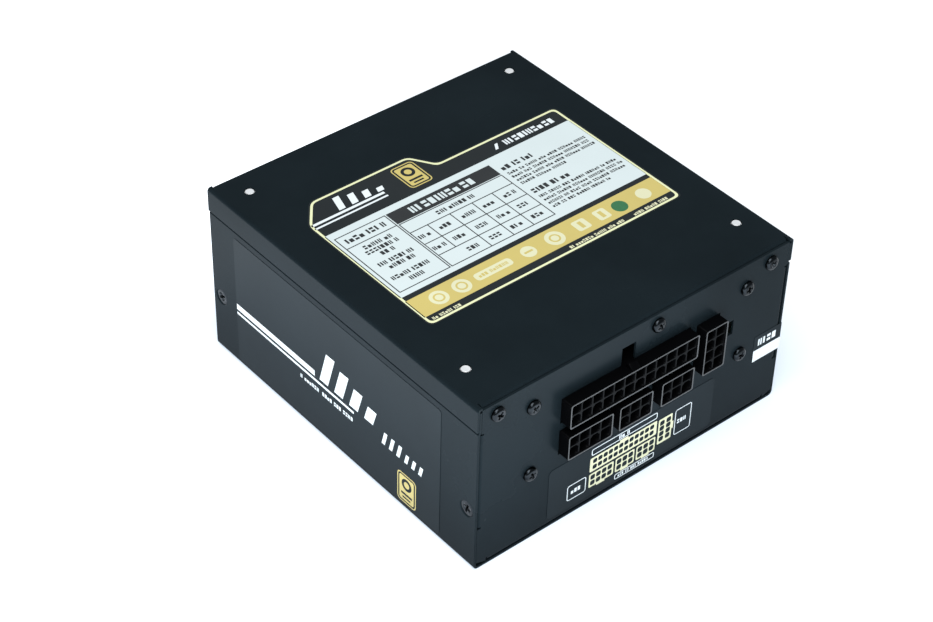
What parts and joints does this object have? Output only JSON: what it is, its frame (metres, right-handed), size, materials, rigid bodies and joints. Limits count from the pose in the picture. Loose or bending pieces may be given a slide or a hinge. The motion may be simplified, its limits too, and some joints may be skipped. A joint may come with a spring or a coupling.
{
  "type": "power supply unit",
  "caption": "Slim computer power supply: folded steel box, fan behind a wire guard, rocker switch and mains inlet at one end, and plug-in output sockets at the other.",
  "frame": {"origin": "centre of the underside, at the level it rests on", "axes": "+X to the right seen from the socket side, +Y out of the mains side, +Z out of the label face"},
  "size_m": [0.125, 0.1382, 0.0636],
  "materials": {
    "black_painted_steel": "satin black powder coat",
    "black_nylon": "moulded, satin",
    "zinc_plated_steel": "bright zinc",
    "black_plated_steel": "black plated",
    "printed_film": "printed film",
    "green_board": "solder mask",
    "brass": "plain",
    "aluminium": "extruded",
    "grey_ferrite": "matt",
    "enamelled_copper": "enamelled winding",
    "yellow_box": "moulded",
    "dark_blue_sleeve": "shrunk sleeve",
    "black_epoxy": "moulded",
    "clear_film": "polyester film",
    "sintered_bronze": "sintered"
  },
  "bodies": {
    "case_body": {"base_tray": "black_painted_steel", "board_bracket_left": "zinc_plated_steel", "board_bracket_right": "zinc_plated_steel", "board_screw_lower_left": "black_plated_steel", "board_screw_lower_right": "black_plated_steel", "board_screw_upper_left": "black_plated_steel", "board_screw_upper_right": "black_plated_steel", "bridge_rectifier": "black_epoxy", "bulk_capacitor": "dark_blue_sleeve", "connector_panel": "black_painted_steel", "converter_board": "green_board", "cover_screw_left_front": "black_plated_steel", "cover_screw_left_rear": "black_plated_steel", "cover_screw_right_front": "black_plated_steel", "cover_screw_right_rear": "black_plated_steel", "cpu_socket_8_way": "black_nylon", "drive_socket_6_way_left": "black_nylon", "drive_socket_6_way_right": "black_nylon", "fan_bearing": "sintered_bronze", "fan_cover": "black_painted_steel", "fan_frame": "black_nylon", "fan_guard": "black_plated_steel", "fan_lead": "black_epoxy", "fan_screw_left_front": "black_plated_steel", "fan_screw_left_rear": "black_plated_steel", "fan_screw_right_front": "black_plated_steel", "fan_screw_right_rear": "black_plated_steel", "fan_stator": "enamelled_copper", "graphics_socket_8_way": "black_nylon", "inlet_pin_earth": "brass", "inlet_pin_line": "brass", "inlet_pin_neutral": "brass", "insulating_film": "clear_film", "main_board": "green_board", "main_socket_24_way": "black_nylon", "main_transformer": "grey_ferrite", "mains_filter_capacitor": "yellow_box", "mains_filter_choke": "enamelled_copper", "mains_inlet": "black_nylon", "panel_screw_left": "black_plated_steel", "panel_screw_middle": "black_plated_steel", "panel_screw_right": "black_plated_steel", "pfc_choke": "enamelled_copper", "primary_heat_sink": "aluminium", "rating_label": "printed_film", "seal_sticker": "printed_film", "secondary_heat_sink": "aluminium", "side_decal": "printed_film", "socket_board": "green_board", "socket_chart_decal": "printed_film", "standby_transformer": "grey_ferrite", "standoff_front_left": "zinc_plated_steel", "standoff_front_right": "zinc_plated_steel", "standoff_rear_left": "zinc_plated_steel", "standoff_rear_right": "zinc_plated_steel", "switch_frame": "black_nylon"},
    "fan_rotor_body": {"fan_rotor": "black_nylon", "fan_shaft": "zinc_plated_steel"},
    "rocker_body": {"rocker": "black_nylon"}
  },
  "joints": [
    {"name": "fan_spin", "type": "hinge", "parent": "case_body", "child": "fan_rotor_body", "pos_m": [0, 0, 0.011], "axis": [0, 0, 1], "continuous": true},
    {"name": "rocker_tilt", "type": "hinge", "parent": "case_body", "child": "rocker_body", "pos_m": [-0.012, 0.0626, 0.036], "axis": [1, 0, 0], "range_deg": [-24, 0]}
  ]
}
